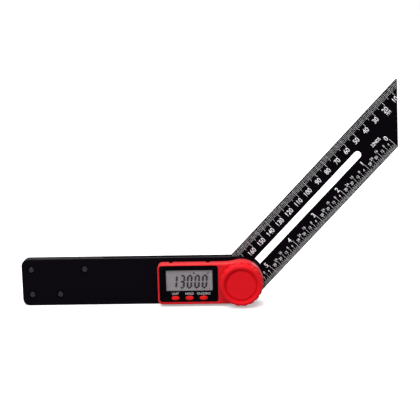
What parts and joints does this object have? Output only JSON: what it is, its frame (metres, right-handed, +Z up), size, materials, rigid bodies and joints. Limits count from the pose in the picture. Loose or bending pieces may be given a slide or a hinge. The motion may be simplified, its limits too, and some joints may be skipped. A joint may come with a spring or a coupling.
{
  "type": "digital angle finder",
  "caption": "Digital angle finder: a black slotted rule swings and slides between two handle plates, with a red display head and a clamping knob at the pivot.",
  "frame": {"origin": "middle of the bounding box, on the surface that the handle's lower long edge rests on", "axes": "+X along the handle from its square end towards the pivot, +Z up, and the display and the knob face -Y"},
  "size_m": [0.2768, 0.0264, 0.1628],
  "materials": {
    "handle_black": "matt black coating",
    "dark_steel": "blackened steel",
    "blade_black": "black coated steel with pale etched scales",
    "steel": "turned steel",
    "nylon": "natural nylon",
    "copper_track": "laminate with copper tracks",
    "head_red": "satin moulded plastic",
    "knob_red": "satin moulded plastic",
    "button_red": "satin moulded plastic",
    "panel_black": "smooth black plastic",
    "clear_lens": "clear acrylic",
    "lcd_grey": "grey liquid crystal display",
    "grey_rubber": "conductive silicone rubber",
    "board_green": "green solder mask",
    "chip_black": "moulded chip",
    "brass": "plain brass"
  },
  "bodies": {
    "handle": {"handle_front_plate": "handle_black", "handle_rear_plate": "handle_black", "end_spacer": "handle_black", "handle_screw_1": "dark_steel", "handle_screw_2": "dark_steel", "handle_screw_3": "dark_steel", "handle_screw_4": "dark_steel", "head_housing": "head_red", "head_screw_1": "steel", "head_screw_2": "steel", "head_screw_3": "steel", "head_screw_4": "steel", "board_screw_1": "steel", "board_screw_2": "steel", "board_screw_3": "steel", "display_panel": "panel_black", "display_lens": "clear_lens", "lcd_glass": "lcd_grey", "contact_strip_lower": "grey_rubber", "contact_strip_upper": "grey_rubber", "circuit_board": "board_green", "processor_chip": "chip_black", "button_pad": "grey_rubber", "minus_contact": "brass", "plus_contact": "brass"},
    "pivot": {"pivot_bolt": "steel", "clamp_sleeve": "steel", "sensor_rotor": "copper_track", "front_friction_washer": "nylon", "rear_friction_washer": "nylon"},
    "blade": {"blade": "blade_black"},
    "knob_washer": {"knob_washer": "steel"},
    "knob": {"clamp_knob": "knob_red", "knob_nut": "brass"},
    "button_unit": {"button_unit": "button_red"},
    "button_hold": {"button_hold": "button_red"},
    "button_zero": {"button_zero": "button_red"},
    "battery_tray": {"battery_tray": "head_red", "coin_cell": "steel"}
  },
  "joints": [
    {"name": "blade_swing", "type": "hinge", "parent": "handle", "child": "pivot", "pos_m": [0.02388, 0.00898, 0.0175], "axis": [0, -1, 0], "range_deg": [-211, 112.5]},
    {"name": "blade_slide", "type": "slide", "parent": "pivot", "child": "blade", "axis": [0.6845, 0, 0.729], "range_m": [-0.123, 0.002]},
    {"name": "knob_travel", "type": "slide", "parent": "pivot", "child": "knob_washer", "axis": [0, -1, 0], "range_m": [0, 0.0012]},
    {"name": "knob_turn", "type": "hinge", "parent": "knob_washer", "child": "knob", "pos_m": [0.02388, 0.00898, 0.0175], "axis": [0, -1, 0], "range_deg": [0, 540]},
    {"name": "button_unit_press", "type": "slide", "parent": "handle", "child": "button_unit", "axis": [0, 1, 0], "range_m": [0, 0.0006], "stiffness_N_per_m": 900},
    {"name": "button_hold_press", "type": "slide", "parent": "handle", "child": "button_hold", "axis": [0, 1, 0], "range_m": [0, 0.0006], "stiffness_N_per_m": 900},
    {"name": "button_zero_press", "type": "slide", "parent": "handle", "child": "button_zero", "axis": [0, 1, 0], "range_m": [0, 0.0006], "stiffness_N_per_m": 900},
    {"name": "battery_tray_slide", "type": "slide", "parent": "handle", "child": "battery_tray", "axis": [0, 0, 1], "range_m": [0, 0.026]}
  ],
  "couplings": [
    {"joint": "knob_travel", "follows": "knob_turn", "m_per_rad": 0.0001273}
  ]
}
